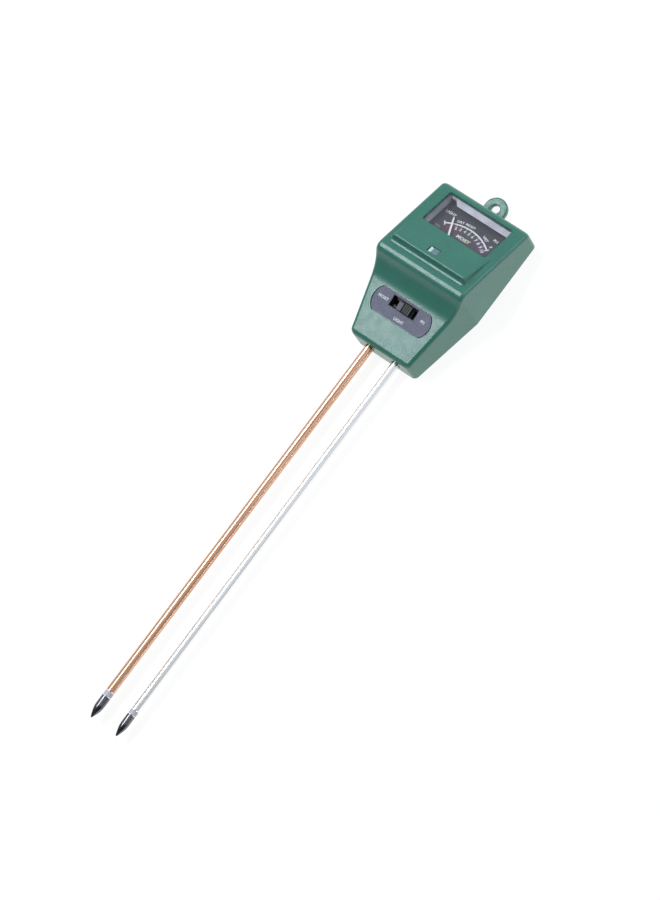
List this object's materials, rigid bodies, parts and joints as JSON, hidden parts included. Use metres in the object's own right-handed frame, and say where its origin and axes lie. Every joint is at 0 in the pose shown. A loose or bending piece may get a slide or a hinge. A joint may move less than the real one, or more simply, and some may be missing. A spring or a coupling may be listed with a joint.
{
  "type": "soil moisture meter",
  "caption": "Hand-held soil meter: a wedge-shaped plastic head with an analogue dial, slide switch and hanging ring, on long metal probes that push into the soil.",
  "frame": {"origin": "middle of the flat back of the head", "axes": "+X to the right of the dial, +Y along the head away from the probes to the hanging ring, +Z out of the dial; the meter lies on its flat back"},
  "size_m": [0.048, 0.2871, 0.0308],
  "materials": {
    "green_plastic": "satin moulded plastic, fine texture",
    "clear_plastic": "clear polished plastic",
    "label_film": "matt printed film",
    "black_plastic": "moulded black plastic",
    "dial_paint": "matt dark paint with white print",
    "white_plastic": "matt white plastic",
    "knob_plastic": "ribbed dark plastic",
    "board_laminate": "resin-bonded laminate",
    "ceramic_cell": "light sensor disc",
    "steel": "plated",
    "magnet_alloy": "ground magnet alloy",
    "dark_chrome": "dark polished plating",
    "copper": "drawn copper tube",
    "coil_wire": "enamelled copper winding",
    "aluminium": "drawn aluminium tube",
    "brass": "stamped brass",
    "ring_plastic": "grey insulating plastic",
    "lead_red": "sheathed lead",
    "lead_black": "sheathed lead",
    "lead_yellow": "sheathed lead",
    "lead_blue": "sheathed lead",
    "resistor_body": "lacquered component body"
  },
  "bodies": {
    "head": {"front_shell": "green_plastic", "back_cover": "green_plastic", "cover_screw_1": "steel", "cover_screw_2": "steel", "cover_screw_3": "steel", "cover_screw_4": "steel", "window_lens": "clear_plastic", "sensor_lens": "clear_plastic", "photocell": "ceramic_cell", "dial_plate": "dial_paint", "dial_screw_1": "steel", "dial_screw_2": "steel", "stop_pin_low": "brass", "stop_pin_high": "brass", "movement_frame": "black_plastic", "movement_screw_1": "steel", "movement_screw_2": "steel", "magnet": "magnet_alloy", "yoke_left": "steel", "yoke_right": "steel", "front_bridge": "brass", "rear_bridge": "brass", "front_jewel": "steel", "rear_jewel": "steel", "front_hairspring": "brass", "rear_hairspring": "brass", "switch_label": "label_film", "switch_body": "black_plastic", "circuit_board": "board_laminate", "board_screw_1": "steel", "board_screw_2": "steel", "probe_holder": "white_plastic", "holder_screw_1": "steel", "holder_screw_2": "steel", "copper_probe": "copper", "copper_insulator": "ring_plastic", "copper_tip": "dark_chrome", "copper_tip_rod": "steel", "copper_lug": "brass", "copper_lead": "lead_red", "aluminium_probe": "aluminium", "aluminium_insulator": "ring_plastic", "aluminium_tip": "dark_chrome", "aluminium_tip_rod": "steel", "aluminium_lug": "brass", "aluminium_lead": "lead_black", "meter_lead_1": "lead_yellow", "meter_lead_2": "lead_yellow", "cell_lead_1": "lead_blue", "cell_lead_2": "lead_blue", "resistor": "resistor_body", "hanging_ring": "green_plastic"},
    "pointer": {"needle": "white_plastic", "balance_weight": "brass", "moving_coil": "coil_wire", "front_pivot": "steel", "rear_pivot": "steel"},
    "switch": {"switch_slider": "label_film", "switch_knob": "knob_plastic", "switch_contact": "coil_wire"}
  },
  "joints": [
    {"name": "pointer_swing", "type": "hinge", "parent": "head", "child": "pointer", "pos_m": [0, 0.00911, 0.01987], "axis": [0, -0.374, -0.9274], "range_deg": [-11, 65], "stiffness_Nm_per_rad": 0.00002},
    {"name": "switch_slide", "type": "slide", "parent": "head", "child": "switch", "axis": [1, 0, 0], "range_m": [-0.002, 0.002]}
  ]
}
